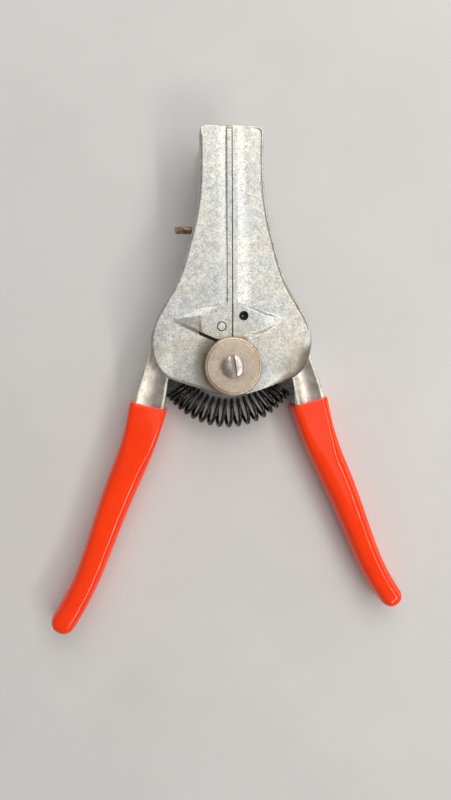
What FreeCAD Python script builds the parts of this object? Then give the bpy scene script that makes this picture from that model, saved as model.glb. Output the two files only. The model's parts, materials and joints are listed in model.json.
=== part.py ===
import FreeCAD, Part
import Sketcher
import math
import operator
import os
from types import SimpleNamespace
from FreeCAD import Placement, Rotation, Vector

# Automatic wire stripper, millimetres.  X runs across the tool, Y from the handles to the
# jaw tips, Z up from the table.  The main pivot axis is the Z axis.

doc = FreeCAD.newDocument("WireStripper")
sheet = doc.addObject("Spreadsheet::Sheet", "Dims")

DIMENSIONS = {
    # front plates
    "head_end": 81.2,
    "head_half": 10.9,
    "head_corner": 2.2,
    "neck_half": 11.0,
    "neck_y": 64.5,
    "waist_half": 12.3,
    "waist_y": 52.7,
    "flank_half": 15.4,
    "flank_y": 39.9,
    "hip_half": 19.3,
    "hip_y": 28.7,
    "lobe_half": 28.4,
    "lobe_y": 6.8,
    "hem_half": 13.5,
    "hem_y": -7.2,
    "half_gap": 0.15,
    "plate_thick": 2.0,
    "plate_hub_rad": 10.0,
    "flange_thick": 1.6,
    "flange_drop": 1.95,
    "flange_start_y": 12.5,
    "edge_round": 1.1,
    "rib_high": 0.8,
    "rib_wide": 2.2,
    "slope_wide": 5.4,
    "dip_deep": 0.5,
    "dip_wide": 5.0,
    "star_high": 0.9,
    "star_tip_x": 20.6,
    "star_tip_y": 16.5,
    "star_top_y": 21.8,
    "star_shoulder_x": 11.0,
    "star_shoulder_y": 18.1,
    "star_bevel": 0.9,
    "washer_clear": 0.25,
    "fold_top_y": 15.0,
    "fold_low_y": 6.0,
    "fold_start": 11.6,
    "fold_notch_y": 12.4,
    # pivot stack
    "pivot_rad": 2.5,
    "run_gap": 0.05,
    "layer_gap": 0.15,
    "nut_flats": 8.0,
    "nut_high": 4.5,
    "lock_rad": 4.4,
    "lock_thick": 1.0,
    "collar_rad": 4.5,
    "collar_high": 5.05,
    "handle_thick": 2.5,
    "handle_hub_rad": 9.5,
    "washer_rad": 10.2,
    "washer_thick": 2.2,
    "washer_round": 0.9,
    "head_rad": 3.9,
    "head_high": 3.0,
    "head_round": 1.8,
    "slot_wide": 1.3,
    "slot_deep": 1.6,
    # jaws and their hinge pins
    "hinge_y": 47.8,
    "hinge_z": 11.5,
    "hinge_pin_rad": 1.6,
    "pin_head_rad": 2.3,
    "stud_rad": 1.4,
    "stud_end": 19.5,
    "jaw_angle": 12.0,
    "ear_rad": 4.0,
    "inner_wall": 1.85,
    "wall_lift": 1.2,
    "wall_set_back": 1.0,
    "outer_ear": 10.2,
    "jaw_outer": 9.0,
    "jaw_start": 56.0,
    "jaw_end": 79.5,
    "jaw_seat": 2.1,
    "jaw_tip_chamfer": 0.8,
    "jaw_neck_lap": 1.0,
    "jaw_neck_low": 0.4,
    "jaw_neck_step": 0.3,
    "jaw_throat_low": 2.4,
    "tail_start": 1.0,
    "tail_clear": 4.5,
    "tail_inset": 1.6,
    "bite_gap": 0.05,
    "blade_thick": 1.5,
    "blade_set_back": 0.3,
    "pad_set_back": 0.5,
    "pad_gap": 0.8,
    "rear_blade_high": 3.6,
    "front_blade_high": 6.3,
    "front_screw_up": 3.9,
    "notch_rad": 0.55,
    "notch_grow": 0.17,
    "notch_pitch": 3.0,
    "small_screw_rad": 1.25,
    "small_head_rad": 2.2,
    "small_head_high": 1.2,
    "jaw_screw_deep": 4.0,
    "pad_screw_deep": 3.0,
    "pad_screw_bite": 1.0,
    "pad_head_sink": 1.7,
    "pin_rivet_high": 0.8,
    "tooth_high": 0.5,
    # cams and stop pins
    "cam_x": 9.0,
    "cam_y": 26.0,
    "cam_drop": 3.5,
    "ball_rad": 1.7,
    "ball_neck_rad": 1.0,
    "cam_gap": 0.22,
    "cam_wall": 1.0,
    "cam_front": 24.2,
    "cam_deep": 4.4,
    "cam_lip": 0.8,
    "cam_side_lip": 0.3,
    "squeeze_angle": 12.0,
    "left_pin_x": 3.6,
    "left_pin_y": 13.7,
    "right_pin_x": 3.9,
    "right_pin_y": 17.4,
    "stop_pin_rad": 1.55,
    "stop_gap": 0.2,
    "right_pin_sink": 0.8,
    # handles, grips and return spring
    "handle_skew": 0.8,
    "arm_low": 1.3,
    "arm_top": 11.3,
    "trough_deep": 1.0,
    "trough_rim": 1.5,
    "channel_wall": 1.8,
    "grip_top": 12.6,
    "grip_wall": 1.5,
    "grip_round": 3.6,
    "spring_centre_y": 4.5,
    "spring_arc_rad": 22.5,
    "spring_coil_rad": 4.4,
    "spring_wire_rad": 0.62,
    "spring_to_arm": 4.45,
    "spring_turns": 18.0,
    "spring_z": 5.4,
    "seat_thick": 5.0,
    "seat_stud_rad": 3.3,
    "seat_stud_long": 3.0,
    "seat_half": 4.6,
    "seat_gap": 0.1,
}


class Size:
    """A number together with the formula that gives it from the sheet."""

    def __init__(self, number, formula):
        self.number = number
        self.formula = formula

    def __add__(self, other):
        return combined(operator.add, "+", self, other)

    def __radd__(self, other):
        return combined(operator.add, "+", other, self)

    def __sub__(self, other):
        return combined(operator.sub, "-", self, other)

    def __rsub__(self, other):
        return combined(operator.sub, "-", other, self)

    def __mul__(self, other):
        return combined(operator.mul, "*", self, other)

    def __rmul__(self, other):
        return combined(operator.mul, "*", other, self)

    def __truediv__(self, other):
        return combined(operator.truediv, "/", self, other)

    def __neg__(self):
        return combined(operator.mul, "*", -1.0, self)


def sized(value):
    if isinstance(value, Size):
        return value
    return Size(float(value), repr(float(value)))


def combined(action, sign, first, second):
    first, second = sized(first), sized(second)
    formula = "(%s %s %s)" % (first.formula, sign, second.formula)
    return Size(action(first.number, second.number), formula)


def trig(name, function, angle):
    return Size(function(math.radians(angle.number)), "%s(%s * 1 deg)" % (name, angle.formula))


def fill_sheet():
    sizes = {}
    for row, (alias, number) in enumerate(DIMENSIONS.items(), start=1):
        sheet.set("A%d" % row, alias)
        sheet.set("B%d" % row, str(number))
        sheet.setAlias("B%d" % row, alias)
        sizes[alias] = Size(number, "Dims." + alias)
    doc.recompute()
    return SimpleNamespace(**sizes)


d = fill_sheet()

# heights of the layers stacked on the pivot
z_collar = d.nut_high + d.lock_thick
z_left_handle = z_collar + d.collar_high + d.layer_gap
z_right_handle = z_left_handle + d.handle_thick + d.layer_gap
z_left_plate = z_right_handle + d.handle_thick + d.layer_gap
z_right_plate = z_left_plate + d.plate_thick + d.layer_gap
z_face = z_right_plate + d.plate_thick
z_star = z_face + d.star_high
z_head = z_face + d.washer_thick

tan_jaw = trig("tan", math.tan, d.jaw_angle)
sin_jaw = trig("sin", math.sin, d.jaw_angle)
cos_jaw = trig("cos", math.cos, d.jaw_angle)
sin_squeeze = trig("sin", math.sin, d.squeeze_angle)
cos_squeeze = trig("cos", math.cos, d.squeeze_angle)

flange_inner = d.inner_wall + d.flange_thick
outer_ear_end = d.outer_ear + d.flange_thick
ball_z = d.hinge_z - d.cam_drop
blade_x = d.inner_wall - d.blade_thick

PLANES = {"XY": "XY_Plane", "XZ": "XZ_Plane", "YZ": "YZ_Plane"}
RIGHT, LEFT = 1, -1
TOUCH = 0.01


def bind(target, name, size):
    target.setExpression(name, sized(size).formula)


def new_body(label):
    body = doc.addObject("PartDesign::Body", label)
    body.Label = label
    return body


def new_sketch(body, plane, offset):
    sketch = body.newObject("Sketcher::SketchObject", body.Name + "_sketch")
    support = [f for f in body.Origin.OriginFeatures if f.Role == PLANES[plane]][0]
    sketch.AttachmentSupport = [(support, "")]
    sketch.MapMode = "FlatFace"
    bind(sketch, "AttachmentOffset.Base.z", offset)
    return sketch


def hold(sketch, kind, geometry, point, size):
    index = sketch.addConstraint(
        Sketcher.Constraint(kind, -1, 1, geometry, point, sized(size).number))
    bind(sketch, "Constraints[%d]" % index, size)


def draw_polygon(sketch, points):
    corners = [Vector(sized(a).number, sized(b).number, 0) for a, b in points]
    count = len(corners)
    lines = [Part.LineSegment(corners[i], corners[(i + 1) % count]) for i in range(count)]
    first = sketch.addGeometry(lines, False)[0]
    for i in range(count):
        sketch.addConstraint(
            Sketcher.Constraint("Coincident", first + i, 2, first + (i + 1) % count, 1))
    for i, (a, b) in enumerate(points):
        hold(sketch, "DistanceX", first + i, 1, a)
        hold(sketch, "DistanceY", first + i, 1, b)


def draw_circle(sketch, a, b, radius):
    centre = Vector(sized(a).number, sized(b).number, 0)
    circle = sketch.addGeometry(Part.Circle(centre, Vector(0, 0, 1), sized(radius).number), False)
    hold(sketch, "DistanceX", circle, 3, a)
    hold(sketch, "DistanceY", circle, 3, b)
    index = sketch.addConstraint(Sketcher.Constraint("Radius", circle, sized(radius).number))
    bind(sketch, "Constraints[%d]" % index, radius)


def extrude(body, kind, sketch, length, against):
    feature = body.newObject("PartDesign::" + kind, body.Name + "_" + kind.lower())
    feature.Profile = sketch
    feature.Reversed = against
    bind(feature, "Length", length)
    body.Tip = feature
    return feature


def pad_polygon(body, plane, offset, length, points):
    sketch = new_sketch(body, plane, offset)
    draw_polygon(sketch, points)
    extrude(body, "Pad", sketch, length, False)


def pad_circle(body, plane, offset, length, a, b, radius):
    sketch = new_sketch(body, plane, offset)
    draw_circle(sketch, a, b, radius)
    extrude(body, "Pad", sketch, length, False)


def cut_polygon(body, plane, offset, length, points):
    sketch = new_sketch(body, plane, offset)
    draw_polygon(sketch, points)
    extrude(body, "Pocket", sketch, length, True)


def cut_circles(body, plane, offset, length, circles):
    sketch = new_sketch(body, plane, offset)
    for a, b, radius in circles:
        draw_circle(sketch, a, b, radius)
    extrude(body, "Pocket", sketch, length, True)


def across(side, near, far):
    """Start and length along +X of a stretch that lies between near and far on one side."""
    if side == RIGHT:
        return near, far - near
    return -far, far - near


def rectangle(a0, a1, b0, b1):
    return [(a0, b0), (a1, b0), (a1, b1), (a0, b1)]


def set_jaw_pose(body):
    """Turns a piece drawn in the closed jaw's frame to the open rest pose."""
    body.Placement = Placement(Vector(0, 1, 1), Rotation(Vector(-1, 0, 0), 10))
    bind(body, "Placement.Base.y", d.hinge_y)
    bind(body, "Placement.Base.z", d.hinge_z)
    bind(body, "Placement.Rotation.Angle", d.jaw_angle)


def round_rim(body, top, rim, radius):
    """Rounds the upper outer edge of a disc standing on the pivot axis."""
    doc.recompute()
    base = body.Tip
    edges = [i for i, e in enumerate(base.Shape.Edges, 1)
             if e.BoundBox.ZMin > top.number - TOUCH and e.BoundBox.XMax > rim.number - TOUCH]
    rounded = body.newObject("PartDesign::Fillet", body.Name + "_rim")
    rounded.Base = (base, ["Edge%d" % edges[0]])
    bind(rounded, "Radius", radius)
    body.Tip = rounded


# pivot screw, washers, collar and nut
def pivot_screw():
    body = new_body("pivot_screw")
    pad_circle(body, "XY", 0, z_head, 0, 0, d.pivot_rad)
    pad_circle(body, "XY", z_head, d.head_high, 0, 0, d.head_rad)
    round_rim(body, z_head + d.head_high, d.head_rad, d.head_round)
    half = d.slot_wide / 2
    slot_floor = z_head + d.head_high - d.slot_deep
    cut_polygon(body, "XY", slot_floor, d.slot_deep + 1,
                rectangle(-half, half, -d.head_rad - 1, d.head_rad + 1))


def ring(label, offset, height, outer, inner):
    body = new_body(label)
    pad_circle(body, "XY", offset, height, 0, 0, outer)
    cut_circles(body, "XY", offset, height, [(0, 0, inner)])
    return body


def pivot_washer():
    body = ring("pivot_washer", z_face, d.washer_thick, d.washer_rad, d.pivot_rad)
    round_rim(body, z_head, d.washer_rad, d.washer_round)


def pivot_nut():
    body = new_body("pivot_nut")
    half = d.nut_flats / 2
    side = half * (1 / math.cos(math.radians(30)))
    corner = side / 2
    pad_polygon(body, "XY", 0, d.nut_high, [
        (side, 0), (corner, half), (-corner, half), (-side, 0), (-corner, -half), (corner, -half)])
    cut_circles(body, "XY", 0, d.nut_high, [(0, 0, d.pivot_rad)])


# rear jaws, their hinge pins and what they carry
def mouth_z(y):
    """Height of the open rear jaw's biting line at a distance y from the pivot."""
    return d.hinge_z - (y - d.hinge_y) * tan_jaw


# lower and upper edge of the jaw's tail, from the hinge's height and from the ball's
TAIL_ROOT = (-2.2, 1.1)
TAIL_TIP = (-0.6, 2.0)


def rear_jaw(label, side):
    body = new_body(label)
    seat = d.jaw_seat / cos_jaw
    tip = d.jaw_end
    start, wide = across(side, d.inner_wall, d.jaw_outer)
    pad_polygon(body, "YZ", start, wide, [
        (d.jaw_start, 0), (tip - d.jaw_tip_chamfer, 0), (tip, d.jaw_tip_chamfer),
        (tip, mouth_z(tip) - seat),
        (d.jaw_start, mouth_z(d.jaw_start) - seat)])
    ear_gap = d.layer_gap
    start, wide = across(side, flange_inner + ear_gap, d.outer_ear - ear_gap)
    rad = d.ear_rad
    lap = d.jaw_start + d.jaw_neck_lap
    pad_polygon(body, "YZ", start, wide, [
        (lap, d.jaw_neck_low), (lap, mouth_z(d.jaw_start) - seat - d.jaw_neck_step),
        (d.hinge_y + rad * 1.5, mouth_z(d.jaw_start) - seat),
        (d.hinge_y + rad * 0.55, d.hinge_z + rad * 0.8),
        (d.hinge_y - rad * 0.55, d.hinge_z + rad * 0.8),
        (d.hinge_y - rad * 0.95, d.hinge_z + rad * 0.3),
        (d.hinge_y - rad * 0.95, d.hinge_z - rad * 0.6),
        (d.hinge_y + rad, d.jaw_throat_low)])
    tail_start = d.hinge_y - d.tail_start
    tail_end = d.cam_y + d.tail_clear
    start, wide = across(side, d.cam_x - d.tail_inset, d.outer_ear - ear_gap)
    pad_polygon(body, "YZ", start, wide, [
        (tail_start, d.hinge_z + TAIL_ROOT[0]), (tail_start, d.hinge_z + TAIL_ROOT[1]),
        (tail_end, ball_z + TAIL_TIP[1]), (tail_end, ball_z + TAIL_TIP[0])])
    neck = body.newObject("PartDesign::AdditiveCylinder", label + "_neck")
    neck.Placement = Placement(Vector(1, 1, 1), Rotation(Vector(-1, 0, 0), 90))
    bind(neck, "Placement.Base.x", side * d.cam_x)
    bind(neck, "Placement.Base.y", d.cam_y)
    bind(neck, "Placement.Base.z", ball_z)
    bind(neck, "Radius", d.ball_neck_rad)
    bind(neck, "Height", tail_end + 1 - d.cam_y)
    body.Tip = neck
    ball = body.newObject("PartDesign::AdditiveSphere", label + "_ball")
    ball.Placement = Placement(Vector(1, 1, 1), Rotation())
    bind(ball, "Placement.Base.x", side * d.cam_x)
    bind(ball, "Placement.Base.y", d.cam_y)
    bind(ball, "Placement.Base.z", ball_z)
    bind(ball, "Radius", d.ball_rad)
    body.Tip = ball
    start, wide = across(side, d.inner_wall - 1, d.outer_ear + 1)
    cut_circles(body, "YZ", start, wide, [(d.hinge_y, d.hinge_z, d.hinge_pin_rad + d.run_gap)])
    return body


SCREW_STATIONS = (10.2, 29.2)


def closed_to_rest(along, up):
    """Rest-pose Y and Z of a point given from the hinge in the closed jaw's frame."""
    return (d.hinge_y + along * cos_jaw + up * sin_jaw, d.hinge_z - along * sin_jaw + up * cos_jaw)


def right_rear_jaw():
    body = rear_jaw("right_rear_jaw", RIGHT)
    holes = [closed_to_rest(s, -d.rear_blade_high / 2) + (d.small_screw_rad,) for s in SCREW_STATIONS]
    cut_circles(body, "YZ", d.inner_wall, d.jaw_screw_deep, holes)


PAD_SCREW_STATIONS = (13.5, 26.5)


def left_rear_jaw():
    body = rear_jaw("left_rear_jaw", LEFT)
    middle = -(d.inner_wall + d.jaw_outer) / 2
    low = -d.hinge_z
    for number, station in enumerate(PAD_SCREW_STATIONS):
        for name, radius, high in (
                ("shank", d.small_screw_rad, 0), ("bore", d.small_head_rad, -d.pad_head_sink)):
            cutter = body.newObject("PartDesign::SubtractiveCylinder", "left_jaw_%s_%d" % (name, number))
            y, z = closed_to_rest(station, -d.jaw_seat + low)
            cutter.Placement = Placement(Vector(1, 1, 1), Rotation(Vector(-1, 0, 0), 10))
            bind(cutter, "Placement.Base.x", middle)
            bind(cutter, "Placement.Base.y", y)
            bind(cutter, "Placement.Base.z", z)
            bind(cutter, "Placement.Rotation.Angle", d.jaw_angle)
            bind(cutter, "Radius", radius)
            bind(cutter, "Height", sized(high) - low)
            body.Tip = cutter


def jaw_pin(label, side):
    body = new_body(label)
    head_in = d.inner_wall - d.pin_head_rad / 2
    start, wide = across(side, head_in, outer_ear_end)
    pad_circle(body, "YZ", start, wide, d.hinge_y, d.hinge_z, d.hinge_pin_rad)
    start, wide = across(side, head_in, d.inner_wall)
    pad_circle(body, "YZ", start, wide, d.hinge_y, d.hinge_z, d.pin_head_rad)
    if side == RIGHT:
        start, wide = across(side, outer_ear_end, outer_ear_end + d.pin_rivet_high)
        pad_circle(body, "YZ", start, wide, d.hinge_y, d.hinge_z, d.pin_head_rad)
    else:
        start, wide = across(side, outer_ear_end, d.stud_end)
        pad_circle(body, "YZ", start, wide, d.hinge_y, d.hinge_z, d.stud_rad)


NOTCHES = 6
NOTCH_FIRST = 12.8


def notch_circles(base_y, edge):
    circles = []
    for i in range(NOTCHES):
        circles.append((base_y + NOTCH_FIRST + i * d.notch_pitch, edge, d.notch_rad + i * d.notch_grow))
    return circles


def front_blade():
    body = new_body("front_blade")
    edge = d.hinge_z + d.bite_gap
    low_y, high_y = d.jaw_start, d.jaw_end - d.blade_set_back
    pad_polygon(body, "YZ", blade_x, d.blade_thick,
                rectangle(low_y, high_y, edge, edge + d.front_blade_high))
    cut_circles(body, "YZ", blade_x, d.blade_thick, notch_circles(d.hinge_y, edge))
    holes = [(y, z, d.small_screw_rad) for y, z in front_screw_places()]
    cut_circles(body, "YZ", blade_x, d.blade_thick, holes)


def front_screw_places():
    height = d.hinge_z + d.front_screw_up
    return [(d.hinge_y + s, height) for s in SCREW_STATIONS]


def rear_blade():
    body = new_body("rear_blade")
    low_y, high_y = d.jaw_start - d.hinge_y, d.jaw_end - d.blade_set_back - d.hinge_y
    pad_polygon(body, "YZ", blade_x, d.blade_thick,
                rectangle(low_y, high_y, -d.rear_blade_high, -d.bite_gap))
    cut_circles(body, "YZ", blade_x, d.blade_thick, notch_circles(0, -d.bite_gap))
    holes = [(s, -d.rear_blade_high / 2, d.small_screw_rad) for s in SCREW_STATIONS]
    cut_circles(body, "YZ", blade_x, d.blade_thick, holes)
    set_jaw_pose(body)


def side_screw(label, y, z, near, far):
    body = new_body(label)
    pad_circle(body, "YZ", near, far - near, y, z, d.small_screw_rad)
    return body


TEETH = 8


def toothed_block(body, plane_y, length, x0, x1, flat, tips):
    """Block lying along Y with ridges along Y between the x0 and x1 sides."""
    step = (x1 - x0) / TEETH
    root = tips - d.tooth_high if sized(tips).number > sized(flat).number else tips + d.tooth_high
    points = [(x0, flat), (x0, root)]
    for i in range(TEETH):
        points.append((x0 + (i + 0.5) * step, tips))
        points.append((x0 + (i + 1) * step, root))
    points.append((x1, flat))
    pad_polygon(body, "XZ", -(plane_y + length), length, points)


def front_grip_pad():
    body = new_body("front_grip_pad")
    length = d.jaw_end - d.jaw_start - d.pad_set_back
    outer = d.head_half - d.flange_thick - d.pad_gap
    toothed_block(body, d.jaw_start, length, -outer, -flange_inner,
                  z_right_plate, d.hinge_z + d.bite_gap)
    holes = [(y, z, d.small_screw_rad) for y, z in front_screw_places()]
    cut_circles(body, "YZ", -flange_inner - d.pad_screw_deep, d.pad_screw_deep, holes)


def rear_grip_pad():
    body = new_body("rear_grip_pad")
    length = d.jaw_end - d.jaw_start - d.pad_set_back
    toothed_block(body, d.jaw_start - d.hinge_y, length, -d.jaw_outer, -d.inner_wall,
                  -d.jaw_seat, -d.bite_gap)
    middle = -(d.inner_wall + d.jaw_outer) / 2
    holes = [(middle, s, d.small_screw_rad) for s in PAD_SCREW_STATIONS]
    cut_circles(body, "XY", -d.jaw_seat, d.pad_screw_bite, holes)
    set_jaw_pose(body)


def rear_pad_screw(label, station):
    body = new_body(label)
    middle = -(d.inner_wall + d.jaw_outer) / 2
    head_top = -d.jaw_seat - d.pad_head_sink
    shank = d.pad_head_sink + d.pad_screw_bite
    pad_circle(body, "XY", head_top, shank, middle, station, d.small_screw_rad)
    head_low = head_top - d.small_head_high
    pad_circle(body, "XY", head_low, d.small_head_high, middle, station, d.small_head_rad)
    set_jaw_pose(body)


# cam blocks under the handles, stop pins
def cam_block(label, side, top):
    body = new_body(label)
    half = d.ball_rad + d.cam_gap
    start_x, start_z = d.cam_x, ball_z
    tail = d.hinge_y - d.cam_y
    closed_y = d.hinge_y - tail * cos_jaw + d.cam_drop * sin_jaw
    end_x = d.cam_x * cos_squeeze - closed_y * sin_squeeze
    end_z = d.hinge_z - tail * sin_jaw - d.cam_drop * cos_jaw
    inner = end_x - half - d.cam_wall
    outer = start_x + half + d.cam_wall
    low = end_z - half - d.cam_wall
    plane = -(d.cam_front + d.cam_deep)
    a0, a1 = (inner, outer) if side == RIGHT else (-outer, -inner)
    pad_polygon(body, "XZ", plane, d.cam_deep, rectangle(a0, a1, low, top))
    cut_circles(body, "XZ", plane, d.cam_deep, [(side * start_x, start_z, half)])
    cut_circles(body, "XZ", plane, d.cam_deep, [(side * end_x, end_z, half)])
    run, rise = start_x - end_x, start_z - end_z
    slope = math.hypot(run.number, rise.number)
    across_x = half * rise * (1 / slope)
    across_z = half * run * (1 / slope)
    cut_polygon(body, "XZ", plane, d.cam_deep, [
        (side * (start_x + across_x), start_z - across_z),
        (side * (start_x - across_x), start_z + across_z),
        (side * (end_x - across_x), end_z + across_z),
        (side * (end_x + across_x), end_z - across_z)])


def stop_pin(label, x, y, low, high):
    body = new_body(label)
    pad_circle(body, "XY", low, high - low, x, y, d.stop_pin_rad)


# shapes whose outlines are free curves
def value(size):
    return sized(size).number


def add_shape(label, shape):
    item = doc.addObject("Part::Feature", label)
    item.Label = label
    item.Shape = shape.removeSplitter()
    return item


def mirrored(shape, side):
    if side == RIGHT:
        return shape
    return shape.mirror(Vector(0, 0, 0), Vector(1, 0, 0))


def prism(points, low, high):
    corners = [Vector(value(a), value(b), value(low)) for a, b in points]
    face = Part.Face(Part.makePolygon(corners + corners[:1]))
    return face.extrude(Vector(0, 0, value(high) - value(low)))


def block(x0, x1, y0, y1, z0, z1):
    return prism(rectangle(x0, x1, y0, y1), z0, z1)


def post(x, y, radius, low, high):
    return Part.makeCylinder(value(radius), value(high) - value(low),
                             Vector(value(x), value(y), value(low)))


def cross_rod(y, z, radius, x0, x1):
    return Part.makeCylinder(value(radius), value(x1) - value(x0),
                             Vector(value(x0), value(y), value(z)), Vector(1, 0, 0))


# points of the lobe's edge above and below its widest place, and the inner end of its hem
LOBE_UPPER = (-0.7, 6.0, 0)
LOBE_LOWER = (-3.5, -9.0, 0)
HEM_LOW_X = 3.0
# knee of the star's lower edge, as shares of its distance from the pivot
FOOT_KNEE = (0.5, 0.9)


def plate_outline(low, high):
    """Prism of one plate half in plan, on the right side."""
    gap, top, half, round_off = (value(s) for s in (d.half_gap, d.head_end, d.head_half, d.head_corner))
    hem_low = Vector(HEM_LOW_X, -value(d.plate_hub_rad), 0)
    lobe = Vector(value(d.lobe_half), value(d.lobe_y), 0)
    edge_points = [
        Vector(half, top - round_off, 0),
        Vector(value(d.neck_half), value(d.neck_y), 0),
        Vector(value(d.waist_half), value(d.waist_y), 0),
        Vector(value(d.flank_half), value(d.flank_y), 0),
        Vector(value(d.hip_half), value(d.hip_y), 0),
        lobe + Vector(*LOBE_UPPER),
        lobe,
        lobe + Vector(*LOBE_LOWER),
        Vector(value(d.hem_half), value(d.hem_y), 0),
        hem_low]
    side_curve = Part.BSplineCurve()
    side_curve.interpolate(edge_points, InitialTangent=Vector(0, -1, 0), FinalTangent=Vector(-1, 0, 0))
    inset = round_off * (1 - math.sqrt(0.5))
    middle = Vector(half - inset, top - inset, 0)
    corner_start = Vector(half - round_off, top, 0)
    edges = [
        Part.LineSegment(Vector(gap, top, 0), corner_start).toShape(),
        Part.Arc(corner_start, middle, edge_points[0]).toShape(),
        side_curve.toShape(),
        Part.LineSegment(hem_low, Vector(gap, hem_low.y, 0)).toShape(),
        Part.LineSegment(Vector(gap, hem_low.y, 0), Vector(gap, top, 0)).toShape()]
    face = Part.Face(Part.Wire(Part.__sortEdges__(edges)))
    face.translate(Vector(0, 0, value(low)))
    return face.extrude(Vector(0, 0, value(high) - value(low)))


def plate_sheet(low, high):
    """One plate half with its outer upper edge rounded over."""
    sheet_metal = plate_outline(low, high)
    rim = []
    for edge in sheet_metal.Edges:
        box = edge.BoundBox
        on_top = box.ZMin > value(high) - TOUCH
        at_split = box.XMax < value(d.half_gap) + TOUCH
        at_hem = box.YMax < TOUCH - value(d.plate_hub_rad)
        if on_top and not at_split and not at_hem:
            rim.append(edge)
    return sheet_metal.makeFillet(value(d.edge_round), rim)


def star_foot(inset):
    """Lower edge of the star emboss, clear of the big washer."""
    clear = d.washer_rad + d.washer_clear + inset
    knee = (clear * FOOT_KNEE[0], clear * FOOT_KNEE[1])
    return [(d.fold_start - inset, d.fold_notch_y + inset), knee, (d.half_gap, clear)]


def star_outline(inset, tip_x, tip_y, height):
    corners = [(d.half_gap, d.star_top_y - inset), (d.rib_wide, d.star_top_y - inset),
               (d.star_shoulder_x - inset, d.star_shoulder_y - inset), (tip_x, tip_y)] + star_foot(inset)
    points = [Vector(value(x), value(y), value(height)) for x, y in corners]
    return Part.makePolygon(points + points[:1])


def star():
    """Half of the star: a flat centre with bevelled sides and a tail that runs down to a point."""
    ridge_y = (d.star_shoulder_y + d.fold_notch_y) / 2
    foot = star_outline(0, d.star_tip_x, d.star_tip_y, z_face)
    top = star_outline(d.star_bevel, d.star_shoulder_x, ridge_y, z_star)
    solid = Part.makeLoft([foot, top], True, True)
    return solid.cut(post(0, 0, d.washer_rad + d.washer_clear, z_face, z_star))


def along_split(section):
    """Bar beside the split from the star to the plate's end, with a section given in X and height."""
    start = value(d.star_top_y - d.star_bevel)
    corners = [Vector(value(x), start, value(z_face + z)) for x, z in section]
    face = Part.Face(Part.makePolygon(corners + corners[:1]))
    return face.extrude(Vector(0, value(d.head_end) - start, 0))


def split_slope():
    """The right half rises towards the split."""
    return along_split([(d.half_gap, 0), (d.slope_wide, 0), (d.half_gap, d.rib_high)])


def split_rib():
    return along_split(rectangle(d.half_gap, d.rib_wide, 0, d.rib_high))


def split_dip():
    """Shallow valley in the left half beside its rib."""
    return along_split([(d.rib_wide, 0), (d.rib_wide, -d.dip_deep), (d.rib_wide + d.dip_wide, 0)])


def hinge_ear(x0, x1):
    rad = d.ear_rad
    cheek = block(x0, x1, d.hinge_y - rad, d.hinge_y + rad, d.hinge_z, z_right_plate)
    return cheek.fuse(cross_rod(d.hinge_y, d.hinge_z, rad, x0, x1))


def side_walls():
    """Outer flange, inner wall and the two hinge ears under one plate half."""
    low = z_right_plate - d.flange_drop
    solid = plate_outline(low, z_right_plate)
    shifted = solid.copy()
    shifted.translate(Vector(-value(d.flange_thick), 0, 0))
    flange_end = d.head_end - d.head_corner
    keep = block(d.head_half / 2, d.lobe_half, d.flange_start_y, flange_end, low, z_right_plate)
    outer = solid.cut(shifted).common(keep)
    wall_low = d.hinge_z + d.wall_lift
    wall_end = d.jaw_end - d.wall_set_back
    inner = block(d.inner_wall, flange_inner, d.hinge_y, wall_end, wall_low, z_right_plate)
    walls = outer.fuse([inner, hinge_ear(d.inner_wall, flange_inner),
                        hinge_ear(d.outer_ear, outer_ear_end)])
    pin_hole = cross_rod(d.hinge_y, d.hinge_z, d.hinge_pin_rad, 0, outer_ear_end)
    screw_holes = [cross_rod(y, z, d.small_screw_rad, 0, flange_inner + 1) for y, z in front_screw_places()]
    return walls.cut([pin_hole] + screw_holes)


def right_front_plate():
    hub = post(0, 0, d.plate_hub_rad, z_right_plate, z_face)
    plate = plate_sheet(z_right_plate, z_face).fuse([hub, star(), split_slope(), side_walls()])
    pivot_hole = post(0, 0, d.pivot_rad, z_right_plate, z_star)
    pin_hole = post(d.right_pin_x, d.right_pin_y, d.stop_pin_rad, z_right_plate, z_star)
    add_shape("right_front_plate", plate.cut([pivot_hole, pin_hole]))


def left_front_plate():
    fold, wide, far = d.fold_start, d.lobe_half + 1, d.head_end + 1
    above = [(d.half_gap, far), (wide, far), (wide, d.fold_top_y), (fold, d.fold_top_y)]
    upper = plate_sheet(z_right_plate, z_face).common(prism(star_foot(0) + above, z_right_plate, z_face))
    upper = upper.cut([post(0, 0, d.washer_rad + d.washer_clear, z_right_plate, z_face), split_dip()])
    low_top = z_left_plate + d.plate_thick
    low_keep = block(0, wide, -wide, d.fold_low_y, z_left_plate, low_top)
    low_keep = low_keep.fuse(block(0, fold, 0, d.flange_start_y, z_left_plate, low_top))
    lower = plate_sheet(z_left_plate, low_top).common(low_keep)
    slant = [Vector(value(fold), value(y), value(z)) for y, z in (
        (d.fold_top_y, z_right_plate), (d.fold_top_y, z_face),
        (d.fold_low_y, low_top), (d.fold_low_y, z_left_plate))]
    folded = Part.Face(Part.makePolygon(slant + slant[:1])).extrude(Vector(value(wide), 0, 0))
    folded = folded.common(plate_outline(z_left_plate, z_face))
    hub = post(0, 0, d.plate_hub_rad, z_left_plate, low_top)
    plate = upper.fuse([lower, folded, hub, star(), split_rib(), side_walls()])
    pivot_hole = post(0, 0, d.pivot_rad + d.run_gap, z_left_plate, z_star)
    pin_hole = post(d.left_pin_x, d.left_pin_y, d.stop_pin_rad, z_left_plate, z_star)
    add_shape("left_front_plate", mirrored(plate.cut([pivot_hole, pin_hole]), LEFT))


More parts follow.
